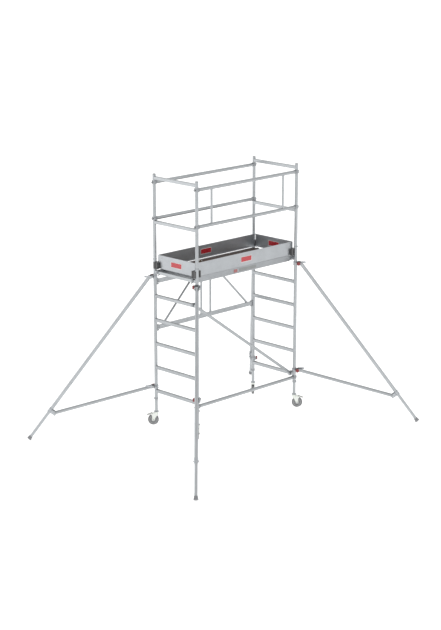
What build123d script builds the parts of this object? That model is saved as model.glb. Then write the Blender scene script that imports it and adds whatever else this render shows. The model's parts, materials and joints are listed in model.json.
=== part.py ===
from build123d import *
import math
import os

# Mobile tower scaffold, in millimetres.
# X runs along the platform, Y across it, Z up.
# The origin is on the floor under the middle of the tower.
# The tower stands on its four outrigger feet with the castors raised.

# --- driving dimensions -------------------------------------------------------
bay_length = 1600.0        # between upright axes, along the platform
frame_width = 676.0        # between upright axes, across the platform
tube_od = 38.0             # uprights, rails and horizontal brace
tube_wall = 1.9
rung_size = 35.0           # rungs and end guard bars are square tube
rung_wall = 2.0
rung_pitch = 280.0
rung_count = 6
first_rung = 600.0         # height of the lowest rung axis
upright_foot = 503.0       # lower end of the ladder uprights
frame_joint = 2100.0       # where the guard frames plug onto the ladders
guard_top = 3113.0
end_bar_heights = (2572.0, 3071.0)
side_rail_heights = (2611.0, 3022.0)
front_post_x = 573.0
post_od = 25.0
fit_gap = 0.05             # radial clearance of a running fit
free_gap = 0.3             # clearance of pieces that pass each other

deck_top = 2040.0
beam_height = 66.0
beam_width = 34.0
beam_outer_y = 300.0
platform_half_length = 740.0
deck_thickness = 12.0
toe_height = 152.0
toe_bottom = 2046.0
toe_outer_x = 790.0
toe_outer_y = 306.0

truss_heights = (1346.0, 1887.0)
truss_bar_height = 46.0
truss_bar_depth = 24.0
truss_post_x = 74.0
truss_end_x = 752.0

brace_z = 560.0            # horizontal brace
claw_reach = 34.0          # from the upright axis to the rail end
claw_height = 36.0
diagonal_y = -282.0        # diagonal brace, inside the front uprights
diagonal_od = 34.0

outrigger_reach = 1485.0   # from the upright axis to where the leg axis meets the floor
outrigger_apex = 2028.0    # height at which the leg axis meets the upright axis
leg_od = 40.0
leg_bore = 35.0
strut_od = 38.0
upper_coupler = 1944.0
lower_coupler = 648.0
upper_pivot_s = 72.0       # distances from the upright axis, outward along the outrigger
sleeve_s = 1220.0
strut_pivot_s = 80.0
strut_foot_s = 1164.0
foot_radius = 27.0
foot_length = 40.0
bolt_r = 5.0

wheel_radius = 62.5
wheel_width = 32.0
wheel_centre_z = 252.5
castor_trail = 36.0
swivel_plate_z = 346.0
crown_z = 330.0
leg_tube_top = 793.0
fork_plate = 4.0
axle_r = 5.0
kingpin_r = 6.0
pedal_axis = (60.0, 322.0)  # outward distance and height

half_length = bay_length / 2
half_width = frame_width / 2
tube_r = tube_od / 2
bore_r = tube_r - tube_wall
rung_half = rung_size / 2
top_rung = first_rung + rung_pitch * (rung_count - 1)

# corner name: (side along X, side across Y, direction of the outrigger in degrees)
corners = {
    "a": (-1, -1, -135.0),
    "b": (-1, 1, 135.0),
    "c": (1, -1, -45.0),
    "d": (1, 1, 45.0),
}
ends = {"left": -1, "right": 1}

os.makedirs("parts", exist_ok=True)


# --- shared shapes ------------------------------------------------------------
def rod(start, end, radius):
    """Solid cylinder from one point to another."""
    start = Vector(*start)
    run = Vector(*end) - start
    plane = Plane(origin=start, z_dir=run)
    return plane * Cylinder(radius, run.length, align=(Align.CENTER, Align.CENTER, Align.MIN))


def tube(start, end, outer_r, inner_r):
    """Round tube from one point to another."""
    return rod(start, end, outer_r) - rod(start, end, inner_r)


def box(corner, opposite):
    """Box between two opposite corners, given in any order."""
    size = [abs(b - a) for a, b in zip(corner, opposite)]
    centre = [(a + b) / 2 for a, b in zip(corner, opposite)]
    return Pos(*centre) * Box(*size)


def plate(points, plane, thickness):
    """Flat plate: an outline on a plane, thickened evenly to both sides."""
    face = make_face(Polyline(*points, close=True))
    return extrude(plane * face, amount=thickness / 2, both=True)


def both_ends(shape):
    """A shape at the right end and its mirror image at the left end."""
    return [shape, mirror(shape, Plane.YZ)]


def turn_z(shape, angle, x=0.0, y=0.0):
    """Turn a shape built at the origin about Z and carry it to an upright."""
    return Pos(x, y, 0) * Rot(0, 0, angle) * shape


def corner_xy(corner):
    side_x, side_y, _ = corners[corner]
    return side_x * half_length, side_y * half_width


def save(name, solids):
    """Write one node: a list of separate solids."""
    pieces = []
    for shape in solids:
        pieces.extend(shape.solids())
    body = Compound(children=pieces) if len(pieces) > 1 else pieces[0]
    body.label = name
    export_step(body, f"parts/{name}.step")


# --- ladder and guard frames --------------------------------------------------
def square_bar(x, z, grooved):
    """Square crossbar between two uprights, its ends shaped to the round tubes."""
    outer_corner_r = 4.0
    inner_size = rung_size - 2 * rung_wall
    profile = RectangleRounded(rung_size, rung_size, outer_corner_r)
    profile -= RectangleRounded(inner_size, inner_size, outer_corner_r - rung_wall)
    if grooved:
        groove = Rectangle(2, 1.6)
        for offset in (-9, -3, 3, 9):
            profile -= Pos(offset, rung_half) * groove
    plane = Plane(origin=(x, -half_width, z), x_dir=(1, 0, 0), z_dir=(0, -1, 0))
    bar = extrude(plane * profile, amount=-frame_width)
    for side in (-1, 1):
        y = side * half_width
        bar -= rod((x, y, z - rung_size), (x, y, z + rung_size), tube_r)
    return bar


def ladder(side):
    """Climbing frame: two uprights and six grooved rungs."""
    x = side * half_length
    pieces = []
    for side_y in (-1, 1):
        y = side_y * half_width
        pieces.append(tube((x, y, upright_foot), (x, y, frame_joint), tube_r, bore_r))
    for i in range(rung_count):
        pieces.append(square_bar(x, first_rung + rung_pitch * i, True))
    return pieces


def guard_frame(side):
    """End guard frame: two uprights and two smooth bars."""
    x = side * half_length
    pieces = []
    for side_y in (-1, 1):
        y = side_y * half_width
        pieces.append(tube((x, y, frame_joint), (x, y, guard_top), tube_r, bore_r))
    for z in end_bar_heights:
        pieces.append(square_bar(x, z, False))
    return pieces


def frame_spigots():
    """Short inner tubes that carry the guard frames on the ladder uprights."""
    reach = 110.0
    outer_r = bore_r - fit_gap
    inner_r = outer_r - 2
    pieces = []
    for corner in corners:
        x, y = corner_xy(corner)
        pieces.append(tube((x, y, frame_joint - reach), (x, y, frame_joint + reach), outer_r, inner_r))
    return pieces


def frame_lock_clips():
    """Snap clips round the uprights that lock each frame joint with a stub pin."""
    clip_z = frame_joint + 46
    pieces = []
    for corner in corners:
        x, y = corner_xy(corner)
        ring = tube((0, 0, clip_z - 4), (0, 0, clip_z + 4), tube_r + 3, tube_r)
        ring -= box((-40, -40, clip_z - 5), (-9, 40, clip_z + 5))
        head = rod((tube_r - 0.5, 0, clip_z), (tube_r + 9, 0, clip_z), 6)
        head -= rod((0, 0, clip_z - 8), (0, 0, clip_z + 8), tube_r)
        pieces.append(turn_z(ring + head, -90 if y < 0 else 90, x, y))
    return pieces


# --- folding truss at the rear ------------------------------------------------
truss_wall = 2.0
truss_post_r = 12.0
truss_post_bore = 10.5
bracket_pin_x = 766.0
bracket_pin_r = 5.0
barrel_y = half_width + truss_bar_depth / 2 + 7
barrel_r = 7.0
barrel_pin_r = 4.0


def truss_half(side):
    """One leaf of the folding truss: two flat bars, a post and a diagonal."""
    low, high = truss_heights
    half_bar = truss_bar_height / 2
    half_depth = truss_bar_depth / 2
    inner_end = 8.0
    pieces = []
    for z in truss_heights:
        front = (inner_end, half_width - half_depth, z - half_bar)
        back = (truss_end_x, half_width + half_depth, z + half_bar)
        hollow_front = (inner_end - 1, front[1] + truss_wall, front[2] + truss_wall)
        hollow_back = (truss_end_x + 1, back[1] - truss_wall, back[2] - truss_wall)
        pieces.append(box(front, back) - box(hollow_front, hollow_back))
    between_bars = box((0, 0, low + half_bar), (half_length, frame_width, high - half_bar))
    post_foot = (truss_post_x, half_width, low)
    post_head = (truss_post_x, half_width, high)
    diagonal_head = (157, half_width, high + 2)
    diagonal_foot = (710, half_width, low - 2)
    for start, end in ((post_foot, post_head), (diagonal_head, diagonal_foot)):
        pieces.append(tube(start, end, truss_post_r, truss_post_bore) & between_bars)
    if side < 0:
        pieces = [mirror(piece, Plane.YZ) for piece in pieces]
    return pieces


def truss_bracket(z):
    """Hinge ears on a rear upright."""
    y = half_width
    ear_y = 13.0
    face_x = half_length - tube_r
    bracket = box((face_x - 7, y - ear_y, z - 38), (half_length - 15, y + ear_y, z + 30))
    for low_z, high_z in ((z - 38, z - 28), (z + 22, z + 30)):
        bracket += box((bracket_pin_x - 12, y - ear_y, low_z), (face_x - 5, y + ear_y, high_z))
    bracket -= rod((half_length, y, z - 60), (half_length, y, z + 60), tube_r)
    return bracket - rod((bracket_pin_x, y, z - 50), (bracket_pin_x, y, z + 50), bracket_pin_r + fit_gap)


def truss_plug(z):
    """End of a truss bar: a plug inside the bar and an eye round the hinge pin."""
    y = half_width
    plug_y = truss_bar_depth / 2 - truss_wall - 0.2
    plug_z = truss_bar_height / 2 - truss_wall - 0.2
    plug = box((truss_end_x - 46, y - plug_y, z - plug_z), (truss_end_x, y + plug_y, z + plug_z))
    plug += box((truss_end_x, y - 10, z - 21), (bracket_pin_x, y + 10, z + 21))
    plug += rod((bracket_pin_x, y, z - 21), (bracket_pin_x, y, z + 21), 10)
    return plug - rod((bracket_pin_x, y, z - 50), (bracket_pin_x, y, z + 50), bracket_pin_r + fit_gap)


def truss_middle_hinge(z):
    """Two hinge leaves behind the middle of a truss bar."""
    face_y = half_width + truss_bar_depth / 2
    knuckle = 7.0
    leaves = []
    for low_z, high_z in ((z - 20, z + 20), (z - knuckle + 0.2, z + knuckle - 0.2)):
        leaf = box((5, face_y, z - 20), (52, face_y + 3, z + 20))
        leaf += box((0, face_y, low_z), (10, face_y + 3, high_z))
        leaf += rod((0, barrel_y, low_z), (0, barrel_y, high_z), barrel_r)
        leaves.append(leaf - rod((0, barrel_y, z - 30), (0, barrel_y, z + 30), barrel_pin_r + fit_gap))
    right, left = leaves
    right -= box((-8, face_y - 1, z - knuckle), (10, face_y + 20, z + knuckle))
    for side in (-1, 1):
        left -= box((-8, face_y - 1, z + side * (knuckle - 0.2)), (10, face_y + 20, z + side * 25))
    return [right, mirror(left, Plane.YZ)]


def truss_hinges():
    pieces = []
    for z in truss_heights:
        pieces += both_ends(truss_bracket(z))
        pieces += both_ends(truss_plug(z))
        pieces += truss_middle_hinge(z)
    return pieces


def hinge_pin(x, y, z, below, above, radius):
    """Pin of a truss hinge, with a flat head at the top."""
    pin = rod((x, y, z - below), (x, y, z + above), radius)
    return pin + rod((x, y, z + above), (x, y, z + above + 3), radius + 3)


def hinge_pins():
    pieces = []
    for z in truss_heights:
        pieces += both_ends(hinge_pin(bracket_pin_x, half_width, z, 42, 30, bracket_pin_r))
        pieces.append(hinge_pin(0, barrel_y, z, 23, 20, barrel_pin_r))
    return pieces


# --- platform -----------------------------------------------------------------
beam_inner_y = beam_outer_y - beam_width
beam_bottom = deck_top - beam_height
deck_bottom = deck_top - deck_thickness
deck_edge_y = beam_outer_y - 22
end_beam_lip = 8.0
end_beam_width = 30.0
beam_wall = 2.5
hatch_low = (-690.0, -250.0)
hatch_high = (-130.0, 225.0)
deck_seam_x = hatch_high[0] + 30
hatch_axis_y = hatch_high[1] + 1.0
hatch_axis_z = deck_top + 5.5
hatch_hinge_x = (-620.0, -200.0)
knuckle_r = 5.0
hatch_pin_r = 2.5


def side_beam(side):
    """Hollow side beam with a lip that frames the deck board."""
    outline = [
        (beam_inner_y, beam_bottom), (beam_outer_y, beam_bottom), (beam_outer_y, deck_top),
        (deck_edge_y, deck_top), (deck_edge_y, deck_bottom), (beam_inner_y, deck_bottom),
    ]
    hollow_low = (beam_inner_y + beam_wall, beam_bottom + beam_wall)
    hollow_high = (beam_outer_y - beam_wall, deck_bottom - 4)
    hollow = [hollow_low, (hollow_high[0], hollow_low[1]), hollow_high, (hollow_low[0], hollow_high[1])]
    section = make_face(Polyline(*outline, close=True)) - make_face(Polyline(*hollow, close=True))
    plane = Plane(origin=(0, 0, 0), x_dir=(0, side, 0), z_dir=(side, 0, 0))
    return extrude(plane * section, amount=platform_half_length, both=True)


def end_beam():
    """Hollow beam across the right end of the platform."""
    inner_x = platform_half_length - end_beam_width
    outer_x = platform_half_length
    reach_y = beam_inner_y + 1
    low_z = beam_bottom + 8
    beam = box((inner_x, -beam_inner_y, low_z), (outer_x, beam_inner_y, deck_top))
    beam -= box((inner_x - 1, -reach_y, deck_bottom), (outer_x - end_beam_lip, reach_y, deck_top + 1))
    hollow_low = (inner_x + beam_wall, -reach_y, low_z + beam_wall)
    hollow_high = (outer_x - beam_wall, reach_y, deck_bottom - beam_wall)
    return beam - box(hollow_low, hollow_high)


def cross_member(x):
    """Thin-walled member under the deck."""
    wall = 2.0
    member = box((x - 15, -beam_inner_y, deck_bottom - 36), (x + 15, beam_inner_y, deck_bottom))
    hollow_low = (x - 15 + wall, -beam_inner_y - 1, deck_bottom - 36 + wall)
    hollow_high = (x + 15 - wall, beam_inner_y + 1, deck_bottom - wall)
    return member - box(hollow_low, hollow_high)


def platform_beams():
    pieces = [side_beam(side) for side in (-1, 1)]
    pieces += both_ends(end_beam())
    pieces += [cross_member(x) for x in (deck_seam_x, 330.0)]
    return pieces


def deck_sheet(start_x, end_x):
    """Plywood sheet between the side beams."""
    return box((start_x, -deck_edge_y, deck_bottom), (end_x, deck_edge_y, deck_top - 0.5))


def deck_board():
    """Fixed sheet over the right part of the platform."""
    return [deck_sheet(deck_seam_x + 1, platform_half_length - end_beam_lip)]


def hatch_surround():
    """Sheet over the left part, with the opening for the hatch."""
    gap = 2.0
    sheet = deck_sheet(end_beam_lip - platform_half_length, deck_seam_x - 1)
    opening_low = (hatch_low[0] - gap, hatch_low[1] - gap, deck_bottom - 1)
    opening_high = (hatch_high[0] + gap, hatch_high[1] + gap, deck_top + 1)
    return [sheet - box(opening_low, opening_high)]


def hatch_panel():
    """Hatch board with the middle knuckle of each hinge."""
    half_knuckle = 12.0
    surface = deck_top - 0.5
    panel = box((*hatch_low, deck_bottom + 0.5), (*hatch_high, surface))
    grip = box((-440, -225, deck_bottom - 1), (-380, -190, deck_top + 1))
    panel -= fillet(grip.edges().filter_by(Axis.Z), 12)
    pieces = [panel]
    for x in hatch_hinge_x:
        low_x = x - half_knuckle
        high_x = x + half_knuckle
        leaf = box((low_x, hatch_axis_y - 43, surface), (high_x, hatch_axis_y, surface + 2.5))
        leaf += box((low_x, hatch_axis_y - knuckle_r, surface), (high_x, hatch_axis_y, hatch_axis_z))
        leaf += rod((low_x, hatch_axis_y, hatch_axis_z), (high_x, hatch_axis_y, hatch_axis_z), knuckle_r)
        bore_start = (low_x - 1, hatch_axis_y, hatch_axis_z)
        bore_end = (high_x + 1, hatch_axis_y, hatch_axis_z)
        pieces.append(leaf - rod(bore_start, bore_end, hatch_pin_r + fit_gap))
    return pieces


def hatch_hinges():
    """Fixed hinge leaves on the deck, each with its pin."""
    half_leaf = 28.0
    surface = deck_top - 0.5
    pieces = []
    for x in hatch_hinge_x:
        start_x = x - half_leaf
        end_x = x + half_leaf
        leaf = box((start_x, hatch_axis_y + 3, surface), (end_x, hatch_axis_y + 36, surface + 2.5))
        for low_x, high_x in ((start_x, x - 12.5), (x + 12.5, end_x)):
            leaf += rod((low_x, hatch_axis_y, hatch_axis_z), (high_x, hatch_axis_y, hatch_axis_z), knuckle_r)
            leaf += box((low_x, hatch_axis_y, surface), (high_x, hatch_axis_y + knuckle_r, hatch_axis_z))
        leaf -= box((x - 12.5, hatch_axis_y - 10, surface - 1), (x + 12.5, hatch_axis_y + 8, surface + 20))
        pin_start = (start_x, hatch_axis_y, hatch_axis_z)
        pin_end = (end_x, hatch_axis_y, hatch_axis_z)
        pieces += [leaf - rod(pin_start, pin_end, hatch_pin_r), rod(pin_start, pin_end, hatch_pin_r)]
    return pieces


def platform_hooks():
    """Cast hooks that hang the platform on the top rungs."""
    hook_y = beam_outer_y - beam_width / 2
    rung_top = top_rung + rung_half
    near_x = half_length - rung_half - 0.5
    far_x = half_length + rung_half + 0.5
    outline = [
        (platform_half_length, deck_top - 52), (platform_half_length + 20, deck_top - 40),
        (near_x, rung_top - 20), (near_x, rung_top), (far_x, rung_top), (far_x, top_rung - 8),
        (far_x + 8.5, top_rung - 8), (far_x + 8.5, rung_top + 2), (far_x + 1.5, rung_top + 9),
        (platform_half_length + 20, rung_top + 9), (platform_half_length, deck_top - 4),
    ]
    pieces = []
    for side_y in (-1, 1):
        pieces += both_ends(Pos(0, side_y * hook_y, 0) * plate(outline, Plane.XZ, 26))
    return pieces


def uplift_latches():
    """Latches beside the hooks that stop the platform lifting off."""
    outline = [
        (772, top_rung + 12), (781, top_rung + 12), (781, top_rung - 19), (812, top_rung - 19),
        (821, top_rung - 27), (816, top_rung - 33), (806, top_rung - 27), (772, top_rung - 27),
    ]
    latch_y = beam_outer_y - beam_width / 2 - 17
    pieces = []
    for side_y in (-1, 1):
        pieces += both_ends(Pos(0, side_y * latch_y, 0) * plate(outline, Plane.XZ, 6))
    return pieces


# --- toe boards ---------------------------------------------------------------
def toe_section():
    """Board section: a thin web with a thicker bead along both edges."""
    web = Pos(-1.5, toe_height / 2) * Rectangle(3, toe_height)
    for height in (4, toe_height - 4):
        web += Pos(-4, height) * Rectangle(8, 8)
    return web


def toe_board_long(side):
    """Toe board along the front or the rear."""
    plane = Plane(origin=(0, side * toe_outer_y, toe_bottom), x_dir=(0, side, 0), z_dir=(side, 0, 0))
    return [extrude(plane * toe_section(), amount=toe_outer_x - 10, both=True)]


def toe_board_end(side):
    """Toe board across one end."""
    plane = Plane(origin=(side * toe_outer_x, 0, toe_bottom), x_dir=(side, 0, 0), z_dir=(0, -side, 0))
    return [extrude(plane * toe_section(), amount=toe_outer_y - 10, both=True)]


def toe_clip():
    """Corner clip at +X +Y: a grooved block on each board's end, hooked round the upright."""
    low_z = toe_bottom - 6
    high_z = toe_bottom + 70
    end_block = box((toe_outer_x, half_width - 62, low_z), (half_length + 26, half_width + 4, high_z))
    long_block = box((half_length - 62, toe_outer_y, low_z), (half_length, toe_outer_y + 32, high_z))
    clip = fillet(end_block.edges().filter_by(Axis.Z), 4) + fillet(long_block.edges().filter_by(Axis.Z), 4)
    under_z = low_z - 1
    over_z = high_z + 1
    clip -= box((half_length + 21, half_width - 42, under_z), (half_length + 40, half_width - 26, over_z))
    clip -= box((half_length - 46, toe_outer_y + 26, under_z), (half_length - 30, toe_outer_y + 50, over_z))
    return clip - rod((half_length, half_width, under_z), (half_length, half_width, over_z), tube_r)


def toe_board_clips():
    """Plastic clips on the boards' outer faces that snap on the uprights."""
    right_pair = [toe_clip(), mirror(toe_clip(), about=Plane.XZ)]
    return right_pair + [mirror(clip, about=Plane.YZ) for clip in right_pair]


# --- rails and braces ---------------------------------------------------------
rail_bore = tube_r - 2
claw_gap = 0.1


def rail_tube(y, z):
    """Rail between two claws."""
    end_x = half_length - claw_reach
    return tube((-end_x, y, z), (end_x, y, z), tube_r, rail_bore)


def front_guard_frame():
    """Front guard frame: two rails joined by two posts."""
    y = -half_width
    low, high = side_rail_heights
    post_r = post_od / 2
    pieces = [rail_tube(y, z) for z in side_rail_heights]
    post = tube((front_post_x, y, low), (front_post_x, y, high), post_r, post_r - 1.5)
    for z in side_rail_heights:
        post -= rod((0, y, z), (half_length, y, z), tube_r)
    return pieces + both_ends(post)


def upright_claw(y, z):
    """Cast claw at the right end of a rail: a plug in the rail and a hook round the upright."""
    x = half_length
    low_z = z - claw_height / 2
    high_z = z + claw_height / 2
    rail_end = x - claw_reach
    mouth = [(x + 3, y), (x + 80, y - 55), (x + 80, y + 55)]
    hook = tube((x, y, low_z), (x, y, high_z), tube_r + 8, tube_r + claw_gap)
    hook -= plate(mouth, Plane.XY.offset(z), claw_height + 2)
    neck = rod((rail_end, y, z), (x - 20, y, z), tube_r + 2.5)
    neck -= rod((x, y, low_z - 10), (x, y, high_z + 10), tube_r + claw_gap)
    plug = rod((rail_end - 55, y, z), (rail_end + 2, y, z), rail_bore)
    return hook + neck + plug


def claw_trigger(y, z):
    """Thumb trigger that closes the mouth of a claw beyond the upright."""
    outline = [(19, -7), (26.5, -9), (38, -2.5), (52, -1.5), (52, 1.5), (38, 3), (26.5, 9), (19, 7)]
    trigger = plate(outline, Plane.XZ, 9) - rod((0, 0, -20), (0, 0, 20), tube_r + 0.2)
    return Pos(half_length, y, z) * trigger


def at_every_claw(make):
    """A piece at both ends of the rails and of the horizontal brace."""
    pieces = []
    for z in side_rail_heights:
        for y in (-half_width, half_width):
            pieces += both_ends(make(y, z))
    return pieces + both_ends(make(-half_width, brace_z))


diagonal_r = diagonal_od / 2
diagonal_high = (-half_length + 40, diagonal_y, first_rung + 4 * rung_pitch - 22)
diagonal_low = (half_length - 40, diagonal_y, first_rung + 22)


def diagonal_brace():
    """Brace between the fifth rung at the left and the first rung at the right."""
    return [tube(diagonal_high, diagonal_low, diagonal_r, diagonal_r - 2)]


def diagonal_claw(side, tube_end, other_end, rung_z):
    """Hook of the diagonal brace, open below so that it drops over a rung."""
    x = side * half_length
    near = rung_half + 0.2
    far = near + 8
    outline = [
        (x - side * far, rung_z - 26), (x - side * near, rung_z - 26), (x - side * near, rung_z + near),
        (x + side * near, rung_z + near), (x + side * near, rung_z - 10), (x + side * far, rung_z - 10),
        (x + side * far, rung_z + near + 2), (x + side * (near + 2), rung_z + far),
        (x - side * far, rung_z + far),
    ]
    hook = Pos(0, diagonal_y, 0) * plate(outline, Plane.XZ, 30)
    end = Vector(*tube_end)
    along = (Vector(*other_end) - end).normalized()
    plug = rod(tuple(end + along * 50), tuple(end - along * 14), diagonal_r - 2)
    beyond_low = (x - side * near, diagonal_y - 40, rung_z - 60)
    beyond_high = (x + side * 60, diagonal_y + 40, rung_z + 60)
    return hook + (plug - box(beyond_low, beyond_high))


def rail_claws():
    """Claws of the rails and of both braces."""
    pieces = at_every_claw(upright_claw)
    pieces.append(diagonal_claw(-1, diagonal_high, diagonal_low, first_rung + 4 * rung_pitch))
    pieces.append(diagonal_claw(1, diagonal_low, diagonal_high, first_rung))
    return pieces


# --- castors ------------------------------------------------------------------
collar_r = tube_r + 2.5
leg_r = bore_r - fit_gap
leg_inner_r = leg_r - 2.5
fork_gap = wheel_width / 2 + 3
cheek_outer = fork_gap + fork_plate
head_z = swivel_plate_z - 0.5
tyre_inner_r = 46.0
hub_r = 16.0


def leg_collars():
    """Clamp collars on the lower ends of the ladder uprights."""
    pieces = []
    for corner in corners:
        x, y = corner_xy(corner)
        collar = rod((x, y, upright_foot - 8), (x, y, upright_foot + 16), collar_r)
        collar -= rod((x, y, upright_foot), (x, y, upright_foot + 30), tube_r)
        collar -= rod((x, y, upright_foot - 20), (x, y, upright_foot + 1), bore_r)
        pieces.append(collar)
    return pieces


def leg_lock_buttons():
    """Spring buttons on the collars that hold the castor legs."""
    z = upright_foot + 4
    pieces = []
    for corner in corners:
        x, y = corner_xy(corner)
        button = rod((collar_r, 0, z), (collar_r + 5, 0, z), 5)
        button += rod((collar_r + 5, 0, z), (collar_r + 7, 0, z), 7)
        pieces.append(turn_z(button, -45 if y < 0 else 135, x, y))
    return pieces


def castor_leg():
    """Telescopic leg and the castor's top plate with its kingpin, about an upright axis."""
    plate_top = swivel_plate_z + 6
    leg = tube((0, 0, plate_top), (0, 0, leg_tube_top), leg_r, leg_inner_r)
    top = rod((0, 0, swivel_plate_z), (0, 0, plate_top), 31)
    top += rod((0, 0, plate_top), (0, 0, plate_top + 24), leg_inner_r)
    top += rod((0, 0, swivel_plate_z - 24), (0, 0, swivel_plate_z), kingpin_r)
    return [leg, top]


def fork_cheek(side):
    """One side plate of the fork, with an ear for the brake pedal and a boss for the axle."""
    pedal_s, pedal_z = pedal_axis
    crown_bottom = crown_z - 6
    outline = [
        (-20, crown_bottom), (-20, 312), (4, 290), (22, wheel_centre_z), (50, wheel_centre_z), (50, 300),
        (pedal_s + 2, pedal_z - 8), (pedal_s, crown_bottom), (46, crown_bottom),
    ]
    cheek = make_face(Polyline(*outline, close=True))
    cheek += Pos(castor_trail, wheel_centre_z) * Circle(14)
    cheek += Pos(pedal_s, pedal_z) * Circle(8)
    middle_y = side * (fork_gap + fork_plate / 2)
    plane = Plane(origin=(0, middle_y, 0), x_dir=(1, 0, 0), z_dir=(0, -1, 0))
    return extrude(plane * cheek, amount=fork_plate / 2, both=True)


def castor_fork():
    """Swivel head and fork, trailing outward, with the wheel's axle."""
    pedal_s, pedal_z = pedal_axis
    crown = box((-20, -cheek_outer, crown_z - 6), (46, cheek_outer, crown_z))
    fork = rod((0, 0, crown_z), (0, 0, head_z), 24) + fillet(crown.edges().filter_by(Axis.Z), 8)
    for side in (-1, 1):
        fork += fork_cheek(side)
    axle_start = (castor_trail, -cheek_outer, wheel_centre_z)
    axle_end = (castor_trail, cheek_outer, wheel_centre_z)
    axle = rod(axle_start, axle_end, axle_r)
    fork -= axle
    fork -= rod((0, 0, crown_z - 20), (0, 0, head_z + 1), kingpin_r + fit_gap)
    fork -= rod((pedal_s, -cheek_outer - 1, pedal_z), (pedal_s, cheek_outer + 1, pedal_z), 3 + fit_gap)
    for side in (-1, 1):
        face_y = side * cheek_outer
        nut_end = (castor_trail, face_y + side * 6, wheel_centre_z)
        axle += rod((castor_trail, face_y, wheel_centre_z), nut_end, 8.5)
    return [fork, axle]


def wheel_tube(half, outer_r, inner_r):
    """Tube about the axle, from -half to half along it."""
    start = (castor_trail, -half, wheel_centre_z)
    end = (castor_trail, half, wheel_centre_z)
    return tube(start, end, outer_r, inner_r)


def castor_wheel():
    """Rubber tyre, dished core and hub."""
    half = wheel_width / 2
    tyre = wheel_tube(half, wheel_radius, tyre_inner_r)
    round_edges = tyre.edges().filter_by(GeomType.CIRCLE)
    tyre = fillet(round_edges.filter_by(lambda edge: edge.radius > tyre_inner_r + 1), 8)
    core = wheel_tube(half, tyre_inner_r, hub_r)
    dish = wheel_tube(half, tyre_inner_r - 5, hub_r + 4) - wheel_tube(half - 9, tyre_inner_r, hub_r)
    hub = wheel_tube(half + 2, hub_r, axle_r + fit_gap)
    return [tyre, core - dish, hub]


def castor_pedal():
    """Brake pedal on a pin between the ears of the fork."""
    axis_s, axis_z = pedal_axis
    outline = [
        (axis_s - 4, axis_z - 4), (axis_s + 4, axis_z - 5), (107, axis_z - 16), (109, axis_z - 11),
        (axis_s + 6, axis_z + 5), (axis_s - 4, axis_z + 5),
    ]
    pin_y = fork_gap + 3
    return [plate(outline, Plane.XZ, 36) + rod((axis_s, -pin_y, axis_z), (axis_s, pin_y, axis_z), 3)]


# --- outriggers ---------------------------------------------------------------
leg_angle = math.atan2(outrigger_apex, outrigger_reach)
leg_dir = (math.cos(leg_angle), 0.0, -math.sin(leg_angle))
foot_end = math.hypot(outrigger_apex, outrigger_reach) - foot_radius / math.tan(leg_angle)
foot_start = foot_end - foot_length
upper_at = upper_pivot_s / leg_dir[0]
sleeve_at = sleeve_s / leg_dir[0]
strut_start = (strut_pivot_s, 0.0, lower_coupler - 10)
strut_end = (strut_foot_s, 0.0, 331.0)
cheek_in = leg_od / 2 + 0.6
cheek_thick = 4.0
jaw_bolt_s = 34.0
jaw_half = 21.0
jaw_r = tube_r + 7


def on_leg(distance):
    """Point on the leg axis, measured down from the upright axis."""
    return (leg_dir[0] * distance, 0.0, outrigger_apex + leg_dir[2] * distance)


def beside_leg(distance, offset):
    """Outward distance and height of a point beside the leg, on its lower side."""
    middle = on_leg(distance)
    return (middle[0] + leg_dir[2] * offset, middle[2] - leg_dir[0] * offset)


def cross_rod(point, reach, radius):
    """Rod across the outrigger, through a point of its middle plane."""
    return rod((point[0], -reach, point[2]), (point[0], reach, point[2]), radius)


def outrigger_leg():
    """Outer leg tube with a bolt hole at its top pivot."""
    leg = tube(on_leg(upper_at - 24), on_leg(sleeve_at + 30), leg_od / 2, leg_bore / 2)
    return [leg - cross_rod(on_leg(upper_at), 60, bolt_r + fit_gap)]


def outrigger_foot_leg():
    """Telescopic inner tube with its rubber foot and spring button."""
    radius = leg_bore / 2 - fit_gap
    tube_end = foot_end - 12
    inner = tube(on_leg(sleeve_at - 330), on_leg(tube_end), radius, radius - 2.2)
    outline = [
        (0, 0), (21, 0), (22, 8), (foot_radius, foot_length - 10), (foot_radius, foot_length),
        (0, foot_length),
    ]
    foot_plane = Plane(origin=on_leg(foot_start), z_dir=leg_dir)
    half_section = foot_plane * (Plane.XZ * make_face(Polyline(*outline, close=True)))
    foot = revolve(half_section, axis=Axis(foot_plane.origin, foot_plane.z_dir))
    foot -= rod(on_leg(foot_start - 1), on_leg(tube_end), radius)
    button_at = foot_start - 22
    middle = on_leg(button_at)
    button = rod((middle[0], -radius + 1, middle[2]), (middle[0], -radius - 4, middle[2]), 5)
    button -= rod(on_leg(button_at - 20), on_leg(button_at + 20), radius)
    return [inner, foot, button]


def outrigger_strut():
    """Strut between the lower coupler and the sleeve on the leg, bolted 14 mm from each end."""
    overrun_s = 13.5
    overrun_z = overrun_s * (strut_end[2] - strut_start[2]) / (strut_end[0] - strut_start[0])
    top = (strut_start[0] - overrun_s, 0.0, strut_start[2] - overrun_z)
    bottom = (strut_end[0] + overrun_s, 0.0, strut_end[2] + overrun_z)
    strut = tube(top, bottom, strut_od / 2, strut_od / 2 - 2)
    for point in (strut_start, strut_end):
        strut -= cross_rod(point, 60, bolt_r + fit_gap)
    return [strut]


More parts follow.
